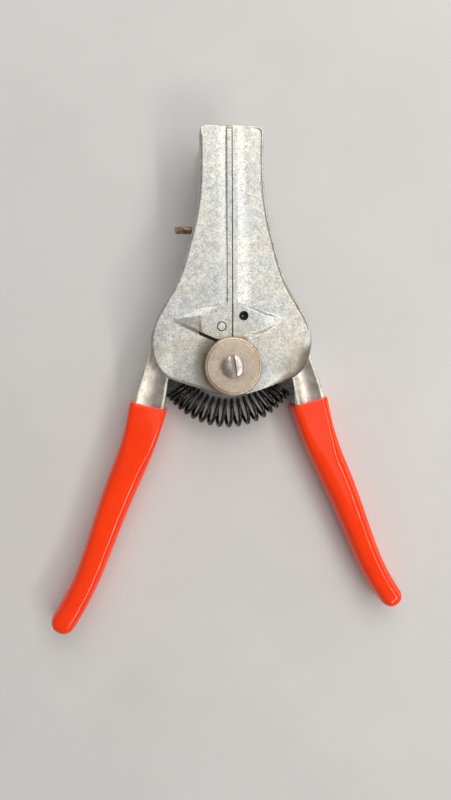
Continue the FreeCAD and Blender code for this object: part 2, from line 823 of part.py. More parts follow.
# centre line of the grip in plan and half its width at each point; the dipped ends differ
GRIP_LINE = [(29.8, -14.0), (32.9, -25.0), (41.4, -45.5), (49.5, -66.0), (56.5, -82.3)]
GRIP_HALF = [7.0, 6.3, 5.8, 5.0, 4.6]
GRIP_END = {RIGHT: (62.2, -91.7), LEFT: (63.5, -94.1)}
GRIP_END_HALF = {RIGHT: 4.4, LEFT: 4.7}
ARM_ROOT = [(24.8, 4.0), (27.8, -6.0)]
ARM_ROOT_HALF = [4.5, 4.9]


def skewed(line, side):
    """Plan points of a right-hand arm, turned on the pivot because both handles lie a little askew."""
    turn = Rotation(Vector(0, 0, 1), side * value(d.handle_skew))
    points = [turn.multVec(Vector(x, y, 0)) for x, y in line]
    return [(p.x, p.y) for p in points]


def band_edges(line, halves):
    """Curves on both sides of a centre line, each at its own half width."""
    curve = Part.BSplineCurve()
    curve.interpolate([Vector(x, y, 0) for x, y in line])
    sides = ([], [])
    for (x, y), half in zip(line, halves):
        along = curve.tangent(curve.parameter(Vector(x, y, 0)))[0]
        normal = Vector(-along.y, along.x, 0)
        sides[0].append(Vector(x, y, 0) + normal * half)
        sides[1].append(Vector(x, y, 0) - normal * half)
    curves = []
    for points in sides:
        side = Part.BSplineCurve()
        side.interpolate(points)
        curves.append(side.toShape())
    end_along = curve.tangent(curve.LastParameter)[0]
    return sides, curves, end_along


def band(line, halves, low, high, round_end):
    """Bar of the given plan band; its far end is square or a half circle."""
    sides, curves, end_along = band_edges(line, halves)
    mouth = Part.LineSegment(sides[1][0], sides[0][0]).toShape()
    if round_end:
        crown = Vector(line[-1][0], line[-1][1], 0) + end_along * halves[-1]
        end = Part.Arc(sides[0][-1], crown, sides[1][-1]).toShape()
    else:
        end = Part.LineSegment(sides[0][-1], sides[1][-1]).toShape()
    face = Part.Face(Part.Wire(Part.__sortEdges__([curves[0], end, curves[1], mouth])))
    face.translate(Vector(0, 0, value(low)))
    return face.extrude(Vector(0, 0, value(high) - value(low)))


def arm_bar(side, high):
    halves = ARM_ROOT_HALF + [half - value(d.grip_wall) for half in GRIP_HALF]
    return band(skewed(ARM_ROOT + GRIP_LINE, side), halves, d.arm_low, high, False)


def arm_trough(side):
    inset = value(d.trough_rim)
    halves = [half - inset for half in ARM_ROOT_HALF]
    halves += [half - value(d.grip_wall) - inset for half in GRIP_HALF[:2]]
    line = skewed(ARM_ROOT + GRIP_LINE[:2], side)
    return band(line, halves, d.arm_top - d.trough_deep, d.arm_top + 1, False)


def arm_hollow(side):
    """Space at the back of the exposed arm, which is a folded channel."""
    halves = [half - value(d.channel_wall) for half in ARM_ROOT_HALF]
    halves.append(GRIP_HALF[0] - value(d.grip_wall + d.channel_wall))
    line = skewed(ARM_ROOT + GRIP_LINE[:1], side)
    return band(line, halves, d.arm_low - 1, d.arm_top - d.trough_deep - d.channel_wall, False)


def grip(label, side):
    line = skewed(GRIP_LINE + [GRIP_END[side]], side)
    sleeve = band(line, GRIP_HALF + [GRIP_END_HALF[side]], 0, d.grip_top, True)
    top = value(d.grip_top)
    mouth_middle = Vector(line[0][0], line[0][1], 0)
    rims = []
    for edge in sleeve.Edges:
        box = edge.BoundBox
        flat = box.ZMax < TOUCH or box.ZMin > top - TOUCH
        centre = edge.CenterOfMass
        at_mouth = Vector(centre.x, centre.y, 0).distanceToPoint(mouth_middle) < 1
        if flat and not at_mouth:
            rims.append(edge)
    sleeve = sleeve.makeFillet(value(d.grip_round), rims)
    add_shape(label, mirrored(sleeve.cut(arm_bar(side, d.arm_top)), side))


def arc_slot(x, y, sweep, half, low, high):
    """Slot around the pivot that a stop pin at x, y needs while the handle turns."""
    radius, start = math.hypot(x, y), math.atan2(y, x)
    turn = math.radians(sweep)

    def spot(r, angle):
        return Vector(r * math.cos(angle), r * math.sin(angle), value(low))

    last, middle = start + turn, start + turn / 2
    cap = half / radius
    edges = [
        Part.Arc(spot(radius + half, start), spot(radius + half, middle), spot(radius + half, last)),
        Part.Arc(spot(radius + half, last), spot(radius, last + cap), spot(radius - half, last)),
        Part.Arc(spot(radius - half, last), spot(radius - half, middle), spot(radius - half, start)),
        Part.Arc(spot(radius - half, start), spot(radius, start - cap), spot(radius + half, start))]
    face = Part.Face(Part.Wire([e.toShape() for e in edges]))
    return face.extrude(Vector(0, 0, value(high) - value(low)))


# outline of the handle's hub plate: inner edge around the stop slot, outer edge and neck
CAM_ARM_INNER = 0.4
ARM_PLATE = {
    RIGHT: [(-1.2, 8.0), (-1.2, 15.2), (-2.6, 16.2), (-2.6, 19.8), (CAM_ARM_INNER, 21.8)],
    LEFT: [(-2.3, 8.0), (-2.3, 16.4), (CAM_ARM_INNER, 18.6)],
}
NECK_PLATE = [(14.0, 20.0), (20.5, 9.0), (26.4, 7.6), (27.0, 2.0), (24.3, -2.0), (21.0, -3.6),
              (13.5, -6.2), (7.0, -8.0)]
ROOT_BLOCK = [(20.6, 0.0), (20.8, 7.0), (26.2, 7.4), (26.8, 2.0), (24.2, -1.8), (22.5, -2.8)]


def handle(label, side, low):
    high = low + d.handle_thick
    cam_end = d.cam_front + d.cam_deep + d.cam_lip
    cam_side = d.cam_x + d.ball_rad + d.cam_gap + d.cam_wall + d.cam_side_lip
    outline = ARM_PLATE[side] + [(CAM_ARM_INNER, cam_end), (cam_side, cam_end)] + NECK_PLATE
    plate = prism(outline, low, high)
    hub = post(0, 0, d.handle_hub_rad, low, high)
    root = prism(ROOT_BLOCK, d.arm_low, high)
    bar = arm_bar(side, d.arm_top).cut(arm_trough(side))
    part = plate.fuse([hub, root, bar]).cut(arm_hollow(side))
    pin_x, pin_y = (d.right_pin_x, d.right_pin_y) if side == RIGHT else (d.left_pin_x, d.left_pin_y)
    slot = arc_slot(value(pin_x), value(pin_y), value(d.squeeze_angle),
                    value(d.stop_pin_rad + d.stop_gap), low, high)
    pivot_hole = post(0, 0, d.pivot_rad + d.run_gap, low, high)
    add_shape(label, mirrored(part.cut([slot, pivot_hole]), side))


def spring_spot(angle, outward, up):
    """Point near the spring's arc; the angle is measured from straight down, right side positive."""
    reach = value(d.spring_arc_rad) + outward
    turn = math.radians(angle)
    return Vector(reach * math.sin(turn), value(d.spring_centre_y) - reach * math.cos(turn),
                  value(d.spring_z) + up)


RINGS_PER_TURN = 12
COIL_NUDGE = 0.001
# the spring stops short of the arms' inner sides, which sets half the angle that it spans
arm_inner = ARM_ROOT[1][0] - ARM_ROOT_HALF[1]
spring_span = math.degrees(math.asin((arm_inner - value(d.spring_to_arm)) / value(d.spring_arc_rad)))


def coil_spot(turn, radius):
    """Point at a radius around the bowed coil's centre line, a number of turns along it."""
    angle = spring_span * (2 * turn / value(d.spring_turns) - 1)
    phase = 2 * math.pi * turn
    return spring_spot(angle, radius * math.cos(phase), radius * math.sin(phase))


def wire_ring(turn):
    """Circle of the spring wire, square to the coil and started on the coil's outside."""
    coil = value(d.spring_coil_rad)
    middle = coil_spot(turn, coil)
    along = coil_spot(turn + COIL_NUDGE, coil) - coil_spot(turn - COIL_NUDGE, coil)
    circle = Part.Circle(middle, along, value(d.spring_wire_rad))
    circle.XAxis = middle - coil_spot(turn, 0)
    return circle.toShape()


def return_spring():
    count = int(value(d.spring_turns) * RINGS_PER_TURN)
    rings = [wire_ring(i / RINGS_PER_TURN) for i in range(count + 1)]
    sides = [Part.makeRuledSurface(first, second) for first, second in zip(rings[:-1], rings[1:])]
    ends = [Part.Face(Part.Wire(rings[0])), Part.Face(Part.Wire(rings[-1]))]
    add_shape("return_spring", Part.Solid(Part.Shell(sides + ends)))


def spring_seat(label, side, top):
    """Lug under the handle's plate with a stud that holds the end of the return spring."""
    inside = spring_spot(spring_span, -value(d.seat_half), 0)
    outside = spring_spot(spring_span, value(d.seat_half), 0)
    turn = math.radians(spring_span)
    along = Vector(math.cos(turn), math.sin(turn), 0)
    start_gap = along * value(d.spring_wire_rad + d.seat_gap)
    face = [inside + start_gap, outside + start_gap]
    back = along * value(d.seat_thick)
    lug = prism([(p.x, p.y) for p in face + [face[1] + back, face[0] + back]], d.arm_low, top)
    lug = lug.cut([arm_bar(side, top), prism(ROOT_BLOCK, d.arm_low, top)])
    centre = spring_spot(spring_span, 0, 0) + start_gap
    stud = Part.makeCylinder(value(d.seat_stud_rad), value(d.seat_stud_long), centre, -along)
    add_shape(label, mirrored(lug.fuse(stud), side))


pivot_screw()
pivot_washer()
ring("pivot_collar", z_collar, d.collar_high, d.collar_rad, d.pivot_rad)
ring("lock_washer", d.nut_high, d.lock_thick, d.lock_rad, d.pivot_rad)
pivot_nut()

right_front_plate()
left_front_plate()
right_pin_top = z_face - d.right_pin_sink
stop_pin("right_stop_pin", d.right_pin_x, d.right_pin_y, z_right_handle + d.layer_gap, right_pin_top)
stop_pin("left_stop_pin", -d.left_pin_x, d.left_pin_y, z_left_handle + d.layer_gap, z_star)
jaw_pin("right_jaw_pin", RIGHT)
jaw_pin("left_jaw_pin", LEFT)

right_rear_jaw()
left_rear_jaw()
front_blade()
rear_blade()
for letter, station, (y, z) in zip("ab", SCREW_STATIONS, front_screw_places()):
    side_screw("front_blade_screw_" + letter, y, z, blade_x, flange_inner)
    pad_screw = side_screw("front_pad_screw_" + letter, y, z,
                           -flange_inner - d.pad_screw_deep, -d.inner_wall)
    pad_circle(pad_screw, "YZ", -d.inner_wall, d.small_head_high, y, z, d.small_head_rad)
    rear_screw = side_screw("rear_blade_screw_" + letter, station, -d.rear_blade_high / 2,
                            blade_x, d.inner_wall + d.jaw_screw_deep)
    set_jaw_pose(rear_screw)
front_grip_pad()
rear_grip_pad()
for letter, station in zip("ab", PAD_SCREW_STATIONS):
    rear_pad_screw("rear_pad_screw_" + letter, station)

handle("right_handle", RIGHT, z_right_handle)
handle("left_handle", LEFT, z_left_handle)
cam_block("right_cam", RIGHT, z_right_handle)
cam_block("left_cam", LEFT, z_left_handle)
spring_seat("right_spring_seat", RIGHT, z_right_handle)
spring_seat("left_spring_seat", LEFT, z_left_handle)
grip("right_grip", RIGHT)
grip("left_grip", LEFT)
return_spring()

doc.recompute()

os.makedirs("parts", exist_ok=True)
for item in doc.Objects:
    if "Invalid" in item.State or "Error" in item.State:
        raise RuntimeError("%s did not compute" % item.Label)
for item in doc.Objects:
    whole_part = item.TypeId in ("PartDesign::Body", "Part::Feature")
    if not whole_part:
        continue
    shape = item.Shape
    if shape.isNull() or not shape.isValid() or len(shape.Solids) != 1:
        raise RuntimeError("%s is not one valid solid" % item.Label)
    shape.exportStep("parts/%s.step" % item.Label)
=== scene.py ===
import json
import math

import bmesh
import bpy
from mathutils import Euler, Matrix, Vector
from mathutils.kdtree import KDTree


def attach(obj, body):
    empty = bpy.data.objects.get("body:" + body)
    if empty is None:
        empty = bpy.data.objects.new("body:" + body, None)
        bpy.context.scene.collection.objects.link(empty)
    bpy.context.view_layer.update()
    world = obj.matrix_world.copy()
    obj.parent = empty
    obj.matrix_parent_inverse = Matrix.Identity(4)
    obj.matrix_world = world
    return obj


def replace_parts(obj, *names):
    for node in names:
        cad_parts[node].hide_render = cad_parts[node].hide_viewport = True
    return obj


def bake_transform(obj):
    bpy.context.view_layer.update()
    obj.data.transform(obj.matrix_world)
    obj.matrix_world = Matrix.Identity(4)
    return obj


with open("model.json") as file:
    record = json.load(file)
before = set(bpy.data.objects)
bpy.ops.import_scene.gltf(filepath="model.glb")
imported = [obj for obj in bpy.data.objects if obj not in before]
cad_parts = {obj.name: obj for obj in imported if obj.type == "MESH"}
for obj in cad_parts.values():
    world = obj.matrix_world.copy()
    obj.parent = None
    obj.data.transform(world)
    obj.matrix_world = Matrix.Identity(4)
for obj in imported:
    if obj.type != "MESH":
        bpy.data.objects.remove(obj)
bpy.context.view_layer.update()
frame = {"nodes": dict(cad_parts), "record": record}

scene = bpy.context.scene
cad = frame["nodes"]
MM = 0.001


def mm(x, y, z):
    """Point in metres from millimetres."""
    return Vector((x * MM, y * MM, z * MM))


def smooth(low, high, x):
    """0 below low, 1 above high, with a smooth rise between."""
    t = min(max((x - low) / (high - low), 0.0), 1.0)
    return t * t * (3 - 2 * t)


def turned(x, y, angle):
    """Plan spot turned about the pivot."""
    cos, sin = math.cos(angle), math.sin(angle)
    return x * cos - y * sin, x * sin + y * cos


# camera and light
def set_camera():
    data = bpy.data.cameras.new("camera")
    data.lens = 18.0
    data.sensor_fit = "VERTICAL"
    data.sensor_height = 24.0
    data.clip_start = 0.01
    camera = bpy.data.objects.new("camera", data)
    camera.location = mm(-23.73, 7.93, 228.75)
    camera.rotation_euler = Euler((-0.09333376, -0.10154364, -0.00398372), "XYZ")
    scene.collection.objects.link(camera)
    scene.camera = camera


SOFT_WHITE, WARM_WHITE = (1.0, 0.985, 0.96), (1.0, 0.98, 0.95)
# name, place and aim in metres, width and height, watts, colour
LAMPS = (
    ("overhead", (0.13, 0.2, 1.02), (0.03, 0.02, 0), (1.05, 0.8), 2.3, SOFT_WHITE),
    ("key", (0.5, 0.08, 0.7), (0, 0.04, 0.02), (1.15, 0.05), 2.05, WARM_WHITE),
    ("edge", (0.45, -0.62, 0.68), (0, -0.06, 0.01), (0.6, 0.06), 2.2, WARM_WHITE),
    ("window", (0.1, 0.85, 0.72), (0, 0.03, 0.02), (1.05, 0.6), 6.0, SOFT_WHITE),
    ("low", (0.7, 0.1, 0.16), (0, 0.02, 0.015), (0.7, 0.12), 0.85, SOFT_WHITE),
)


def area_light(name, place, aim, size, power, colour):
    data = bpy.data.lights.new(name, "AREA")
    data.shape = "RECTANGLE"
    data.size, data.size_y = size
    data.energy = power
    data.color = colour
    lamp = bpy.data.objects.new(name, data)
    lamp.location = place
    lamp.rotation_euler = (Vector(aim) - Vector(place)).to_track_quat("-Z", "Y").to_euler()
    scene.collection.objects.link(lamp)


def set_light():
    world = bpy.data.worlds.new("studio")
    world.use_nodes = True
    background = world.node_tree.nodes["Background"]
    background.inputs["Color"].default_value = (1.0, 0.99, 0.97, 1.0)
    background.inputs["Strength"].default_value = 0.27
    scene.world = world
    for lamp in LAMPS:
        area_light(*lamp)


class Shader:
    """A material with one Principled shader and short calls for the textures that feed it."""

    def __init__(self, name, **values):
        self.material = bpy.data.materials.new(name)
        self.material.use_nodes = True
        self.tree = self.material.node_tree
        self.bsdf = self.tree.nodes["Principled BSDF"]
        self.where = self.add("ShaderNodeTexCoord").outputs["Object"]
        for socket, value in values.items():
            self.bsdf.inputs[socket.replace("_", " ")].default_value = value

    def add(self, kind):
        return self.tree.nodes.new(kind)

    def link(self, source, target):
        self.tree.links.new(source, target)

    def feed(self, socket, source):
        self.link(source, self.bsdf.inputs[socket])

    def stretched(self, factors):
        node = self.add("ShaderNodeMapping")
        node.inputs["Scale"].default_value = factors
        self.link(self.where, node.inputs["Vector"])
        return node.outputs["Vector"]

    def noise(self, size_mm, detail=3.0, rough=0.55, where=None):
        node = self.add("ShaderNodeTexNoise")
        node.inputs["Scale"].default_value = 1.0 / (size_mm * MM)
        node.inputs["Detail"].default_value = detail
        node.inputs["Roughness"].default_value = rough
        self.link(where or self.where, node.inputs["Vector"])
        return node.outputs["Fac"]

    def ramp(self, source, *stops):
        node = self.add("ShaderNodeValToRGB")
        points = node.color_ramp.elements
        while len(points) < len(stops):
            points.new(0.5)
        for point, (place, colour) in zip(points, stops):
            if not isinstance(colour, tuple):
                colour = (colour, colour, colour)
            point.position = place
            point.color = colour + (1.0,)
        self.link(source, node.inputs["Fac"])
        return node.outputs["Color"]

    def mix(self, amount, first, second, how="MIX"):
        node = self.add("ShaderNodeMix")
        node.data_type = "RGBA"
        node.blend_type = how
        for socket, value in ((node.inputs[0], amount), (node.inputs[6], first), (node.inputs[7], second)):
            if isinstance(value, bpy.types.NodeSocket):
                self.link(value, socket)
            elif isinstance(value, tuple):
                socket.default_value = value + (1.0,)
            else:
                socket.default_value = value
        return node.outputs[2]

    def with_painted_shade(self, colour, painted_shade):
        """Darkens a colour towards a painted shade colour where the mesh carries the painted shade value.
        """
        node = self.add("ShaderNodeAttribute")
        node.attribute_name = "painted_shade"
        return self.mix(node.outputs["Fac"], colour, painted_shade)

    def bump(self, height, depth_mm, strength=1.0):
        node = self.add("ShaderNodeBump")
        node.inputs["Strength"].default_value = strength
        node.inputs["Distance"].default_value = depth_mm * MM
        self.link(height, node.inputs["Height"])
        self.feed("Normal", node.outputs["Normal"])


def zinc():
    """Satin zinc plating: grainy, yellowish and bluish in patches, with fine dark specks."""
    look = Shader("zinc_plate", Metallic=1.0)
    patches = look.ramp(look.noise(16, 3.0), (0.36, (0.72, 0.685, 0.61)), (0.50, (0.70, 0.695, 0.665)),
                        (0.64, (0.65, 0.665, 0.665)))
    tint = look.ramp(look.noise(1.1, 3.0, 0.7), (0.36, (0.92, 1.0, 1.08)), (0.64, (1.08, 1.0, 0.88)))
    mottle = look.ramp(look.noise(1.9, 6.0, 0.75), (0.30, 0.66), (0.68, 1.14))
    specks = look.ramp(look.noise(0.5, 3.0, 0.8), (0.34, 0.46), (0.54, 1.03))
    colour = look.mix(1.0, look.mix(0.4, patches, tint, "MULTIPLY"), mottle, "MULTIPLY")
    colour = look.mix(0.9, colour, specks, "MULTIPLY")
    # the mesh value darkens the plating as painted shade near the washer, on the left tail and on the
    # right lobe's lower rim
    look.feed("Base Color", look.with_painted_shade(colour, (0.20, 0.165, 0.125)))
    look.feed("Roughness", look.ramp(look.noise(1.3, 5.0, 0.65), (0.3, 0.34), (0.7, 0.54)))
    look.bump(look.noise(0.5, 3.0, 0.6), 0.03, 0.7)
    return look.material


def nickel(name, colour, low, high, depth):
    """Dull or bright nickel with turning marks, fine scratches and a little tarnish."""
    look = Shader(name, Metallic=1.0)
    tarnish = look.ramp(look.noise(5.0, 4.0, 0.6), (0.35, tuple(0.80 * c for c in colour)), (0.62, colour))
    fine = look.ramp(look.noise(0.45, 4.0, 0.7), (0.32, 0.60), (0.58, 1.02))
    # the mesh value darkens the nickel as painted shade on the washer's lower left rim, in its groove and
    # in the screw slot
    look.feed("Base Color", look.with_painted_shade(look.mix(0.8, tarnish, fine, "MULTIPLY"), (0.20, 0.16, 0.11)))
    look.feed("Roughness", look.ramp(look.noise(1.6, 4.0), (0.35, low), (0.7, high)))
    look.bump(look.noise(0.4, 3.0, 0.65), depth, 0.6)
    return look.material


def worn_steel():
    """Handle steel: grey plating worn through to warm patches."""
    look = Shader("worn_steel", Metallic=1.0)
    wear = look.ramp(look.noise(4.5, 5.0, 0.62), (0.36, (0.57, 0.52, 0.44)), (0.52, (0.75, 0.71, 0.64)),
                     (0.70, (0.82, 0.80, 0.75)))
    specks = look.ramp(look.noise(0.6, 3.0, 0.7), (0.30, 0.6), (0.48, 1.0))
    # the mesh value darkens the steel as painted shade along one side of each arm's trough
    look.feed("Base Color", look.with_painted_shade(look.mix(0.8, wear, specks, "MULTIPLY"), (0.22, 0.16, 0.10)))
    look.feed("Roughness", look.ramp(look.noise(2.0, 4.0), (0.3, 0.32), (0.7, 0.52)))
    look.bump(look.noise(0.6, 4.0, 0.6), 0.03, 0.5)
    return look.material


def vinyl():
    """Dipped grip vinyl: glossy orange red with soft unevenness and a few pale scuffs."""
    look = Shader("grip_vinyl", Specular_IOR_Level=0.38)
    body = look.ramp(look.noise(14, 3.0), (0.3, (0.93, 0.038, 0.0010)), (0.7, (1.0, 0.048, 0.0014)))
    streaks = look.noise(1.5, 6.0, 0.75, look.stretched((1.0, 0.35, 1.0)))
    scuffs = look.ramp(streaks, (0.70, 0.0), (0.80, 0.45))
    look.feed("Base Color", look.mix(scuffs, body, (0.90, 0.22, 0.12)))
    look.feed("Roughness", look.ramp(look.noise(3.5, 4.0), (0.35, 0.07), (0.75, 0.13)))
    look.bump(look.noise(7.0, 2.0), 0.10, 0.4)
    return look.material


def black_wire():
    """Gloss black spring wire."""
    look = Shader("black_wire", Specular_IOR_Level=0.55)
    paint = look.ramp(look.noise(2.5, 4.0), (0.35, (0.004, 0.004, 0.004)), (0.75, (0.014, 0.012, 0.011)))
    look.feed("Base Color", paint)
    look.feed("Roughness", look.ramp(look.noise(1.2, 4.0), (0.3, 0.05), (0.75, 0.13)))
    look.bump(look.noise(0.4, 3.0), 0.008, 0.4)
    return look.material


def bronze():
    """Tarnished bronze of the threaded stud."""
    look = Shader("bronze_stud", Metallic=1.0)
    tarnish = look.ramp(look.noise(1.4, 4.0, 0.65), (0.32, (0.20, 0.13, 0.08)),
                        (0.55, (0.55, 0.40, 0.26)), (0.75, (0.78, 0.66, 0.50)))
    look.feed("Base Color", tarnish)
    look.feed("Roughness", look.ramp(look.noise(0.8, 3.0), (0.3, 0.30), (0.7, 0.52)))
    look.bump(look.noise(0.3, 3.0), 0.015, 0.5)
    return look.material


def black_oxide():
    """Blackened steel of the small screws; on the sunk pin and the sheet under the slit it is painted
    shade.
    """
    look = Shader("dark_screw", Metallic=1.0)
    blacking = look.ramp(look.noise(0.9, 4.0), (0.35, (0.03, 0.03, 0.032)), (0.7, (0.085, 0.08, 0.075)))
    look.feed("Base Color", blacking)
    look.feed("Roughness", look.ramp(look.noise(0.7, 3.0), (0.3, 0.36), (0.7, 0.55)))
    return look.material


MATERIALS = {
    "zinc_plate": zinc(),
    "nickel": nickel("nickel", (0.62, 0.56, 0.51), 0.30, 0.42, 0.012),
    "washer_nickel": nickel("washer_nickel", (0.61, 0.505, 0.40), 0.36, 0.52, 0.04),
    "handle_steel": worn_steel(),
    "bronze_stud": bronze(),
    "blade_steel": nickel("blade_steel", (0.43, 0.43, 0.43), 0.28, 0.42, 0.012),
    "dark_screw": black_oxide(),
    "grip_vinyl": vinyl(),
    "black_wire": black_wire(),
}


def dress(obj, slot):
    obj.data.materials.clear()
    obj.data.materials.append(MATERIALS[slot])


def add_piece(name, bm, slot, body=None, angle=35):
    """Turns a bmesh in metres into a piece with smooth shading below an angle."""
    bmesh.ops.recalc_face_normals(bm, faces=bm.faces)
    mesh = bpy.data.meshes.new(name)
    bm.to_mesh(mesh)
    bm.free()
    mesh.shade_smooth()
    mesh.set_sharp_from_angle(angle=math.radians(angle))
    piece = bpy.data.objects.new(name, mesh)
    scene.collection.objects.link(piece)
    dress(piece, slot)
    if body:
        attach(piece, body)
    return piece


def tube(bm, rings):
    """Joins rings of points into a closed skin."""
    rows = [[bm.verts.new(p) for p in ring] for ring in rings]
    sides = len(rows[0])
    for low, high in zip(rows[:-1], rows[1:]):
        for i in range(sides):
            j = (i + 1) % sides
            bm.faces.new((low[i], low[j], high[j], high[i]))
    bm.faces.new(rows[0][::-1])
    bm.faces.new(rows[-1])


# plate halves: fine skins whose height follows the stamped shape, drawn on the right side
Z_FACE, SHEET, GAP = 20.15, 2.0, 0.15
HEAD_END, HEAD_HALF, HEAD_CORNER = 81.2, 10.9, 2.2
EDGE = [(10.9, 79.0), (11.0, 64.5), (12.3, 52.7), (15.4, 39.9), (19.3, 28.7), (27.7, 12.8), (28.4, 6.8),
        (24.9, -2.2), (13.5, -7.2), (3.0, -10.0)]
HEAD_CRISP = 0.65
UNDER_FALL = 0.55
SKIN_STEP = 0.33
INNER_COLUMNS, OUTER_COLUMNS = 44, 56
STRIP, STRIP_HIGH, STRIP_END = 1.75, 0.5, 21.9
RIGHT_HIGH, LEFT_HIGH, STAR_TILT = 1.5, 0.72, 0.03
PAST_SPLIT = -1.0
SLOPE_START, SLOPE_RISE, SLOPE_WIDE, SLOPE_SPREAD = 1.75, 0.18, 2.55, 0.058
DIP_WIDE, DIP_DEEP, DIP_MORE = 3.6, 0.2, 0.35
GROOVE_IN, GROOVE_HALF, GROOVE_DEEP = 1.05, 0.28, 0.3
DOME_DROP, DOME_REACH = 2.1, 7.0
NOTCH, FOOT, LEFT_TIP = (11.65, 12.2), (4.6, 9.2), (20.7, 16.3)
SLIT_WIDE = 1.15
FOLD_DROP = 2.15
HUB_RAD, WALL_START = 10.05, 12.4
# dark sheet under the slit, painted shade: its top, its bottom and its reach above and below the slit
SHADE_SHEET_TOP, SHADE_SHEET_LOW, SHADE_SHEET_ABOVE, SHADE_SHEET_BELOW = 16.9, 16.6, 0.6, 2.2
LEFT_PIN, RIGHT_PIN = (3.8, 13.9), (3.8, 17.5)
TINY = 1e-6
SPLINE_ROUNDS, CORNER_STEPS, TOP_STEPS, SHADE_SHEET_STEPS = 60, 10, 40, 12


def spline(points, first, last, step):
    """Spots along a smooth curve through plan points, with given directions at its ends."""
    spots = [Vector(p) for p in points]
    gaps = [(b - a).length for a, b in zip(spots[:-1], spots[1:])]
    slopes = [Vector(first)] + [Vector((0, 0)) for p in spots[1:-1]] + [Vector(last)]
    for _ in range(SPLINE_ROUNDS):
        for i in range(1, len(spots) - 1):
            a, b = 1 / gaps[i - 1], 1 / gaps[i]
            pull = 3 * ((spots[i] - spots[i - 1]) * a * a + (spots[i + 1] - spots[i]) * b * b)
            slopes[i] = (pull - slopes[i - 1] * a - slopes[i + 1] * b) / (2 * (a + b))
    curve = []
    for i, gap in enumerate(gaps):
        count = max(round(gap / step), 1)
        for k in range(count):
            t = k / count
            start = spots[i] * (1 + 2 * t) + slopes[i] * gap * t
            end = spots[i + 1] * (3 - 2 * t) + slopes[i + 1] * gap * (t - 1)
            curve.append(start * (1 - t) ** 2 + end * t * t)
    return curve + [spots[-1]]


def plate_edge():
    """Outer edge of a plate half from the end of the head round to the hem."""
    corner = []
    for k in range(CORNER_STEPS):
        a = math.pi / 2 * k / CORNER_STEPS
        x = HEAD_HALF - HEAD_CORNER * (1 - math.sin(a))
        y = HEAD_END - HEAD_CORNER * (1 - math.cos(a))
        corner.append(Vector((x, y)))
    return corner + spline(EDGE, (0, -1), (-1, 0), SKIN_STEP)


def edge_tree(edge):
    """Search tree of the spots along a half's outer edge and the end of its head."""
    top = [Vector((edge[0].x * k / TOP_STEPS, HEAD_END)) for k in range(TOP_STEPS)]
    tree = KDTree(len(top) + len(edge))
    for i, spot in enumerate(top + edge):
        tree.insert((spot.x, spot.y, 0), i)
    tree.balance()
    return tree


PLATE_EDGE = plate_edge()
EDGE_TREE = edge_tree(PLATE_EDGE)


def to_edge(x, y):
    return EDGE_TREE.find((x, y, 0))[2]


def rolled(x, y, radius):
    """How far the surface falls at this place where the outer edge is rolled over."""
    inside = max(radius - to_edge(x, y), 0.0)
    return radius - math.sqrt(radius * radius - inside * inside)


def facet_height(x, y, facets):
    """Height of flat facets, each a triangle of plan spots with heights; 0 outside them."""
    for (ax, ay, az), (bx, by, bz), (cx, cy, cz) in facets:
        area = (bx - ax) * (cy - ay) - (cx - ax) * (by - ay)
        u = ((bx - x) * (cy - y) - (cx - x) * (by - y)) / area
        v = ((cx - x) * (ay - y) - (ax - x) * (cy - y)) / area
        if u >= -TINY and v >= -TINY and u + v <= 1 + TINY:
            return u * az + v * bz + (1 - u - v) * cz
    return 0.0


def on_star(x, y, high):
    """Spot on the star's centre, a plane that falls a little towards the pivot."""
    return (x, y, high - STAR_TILT * (STRIP_END - y))


def star_centre(high, corner, notch, foot, hem_y):
    """Flat centre of half a star."""
    top, hem = on_star(PAST_SPLIT, STRIP_END, high), on_star(PAST_SPLIT, hem_y, high)
    strip = on_star(STRIP, STRIP_END, high)
    return [(top, strip, corner), (top, corner, notch), (top, notch, foot), (top, foot, hem)]


def right_star():
    """Centre, upper bevel, tail with a steep and a gentle part, and the lower bevel."""
    hem_y = 10.3
    places = ((STRIP, STRIP_END), (11.1, 17.7), (11.1, 13.3), (4.4, 11.0), (PAST_SPLIT, hem_y))
    top, corner, notch, foot, hem = (on_star(x, y, RIGHT_HIGH) for x, y in places)
    shoulder, tip = (11.3, 18.8, 0.0), (20.5, 16.7, 0.0)
    ridge, low = (17.2, 16.9, 0.08), (16.8, 15.2, 0.0)
    notch_low, foot_low, hem_low = (12.0, 11.6, 0.0), (4.9, 9.0, 0.0), (PAST_SPLIT, 8.5, 0.0)
    upper = [(top, corner, shoulder), (corner, ridge, shoulder), (ridge, tip, shoulder)]
    tail = [(corner, notch, ridge), (notch, low, ridge), (ridge, low, tip), (notch, low, notch_low)]
    lower = [(notch, foot, notch_low), (foot, notch_low, foot_low),
             (hem, foot, foot_low), (hem, foot_low, hem_low)]
    return star_centre(RIGHT_HIGH, corner, notch, foot, hem_y) + upper + tail + lower


def left_star():
    """Centre, upper bevel and tail; its lower edge is cut free along the slit."""
    places = ((STRIP, STRIP_END), (11.3, 17.6), (10.6, 11.75), FOOT)
    top, corner, inner, foot = (on_star(x, y, LEFT_HIGH) for x, y in places)
    shoulder, tip, outer = (11.4, 19.9, 0.0), LEFT_TIP + (0.0,), NOTCH + (0.0,)
    return star_centre(LEFT_HIGH, corner, inner, foot, 9.5) + [
        (top, corner, shoulder), (corner, tip, shoulder), (corner, inner, outer), (corner, outer, tip)]


RIGHT_STAR, LEFT_STAR = right_star(), left_star()
LEFT_TAIL = [((11.3, 17.6, 1.0), LEFT_TIP + (1.0,), NOTCH + (1.0,))]


def right_sheet(x, y):
    """Fall of the unstamped right half: its lobe is domed down at the lower right."""
    low = smooth(12.0, 3.0, y) * smooth(11.0, 20.0, x)
    return -DOME_DROP * low * max(1 - to_edge(x, y) / DOME_REACH, 0.0) ** 2


def eased(share):
    """Profile of a pressed slope: nearly straight, running out softly at its foot."""
    t = min(max(share, 0.0), 1.0)
    return t * t * (1.6 - 0.6 * t)


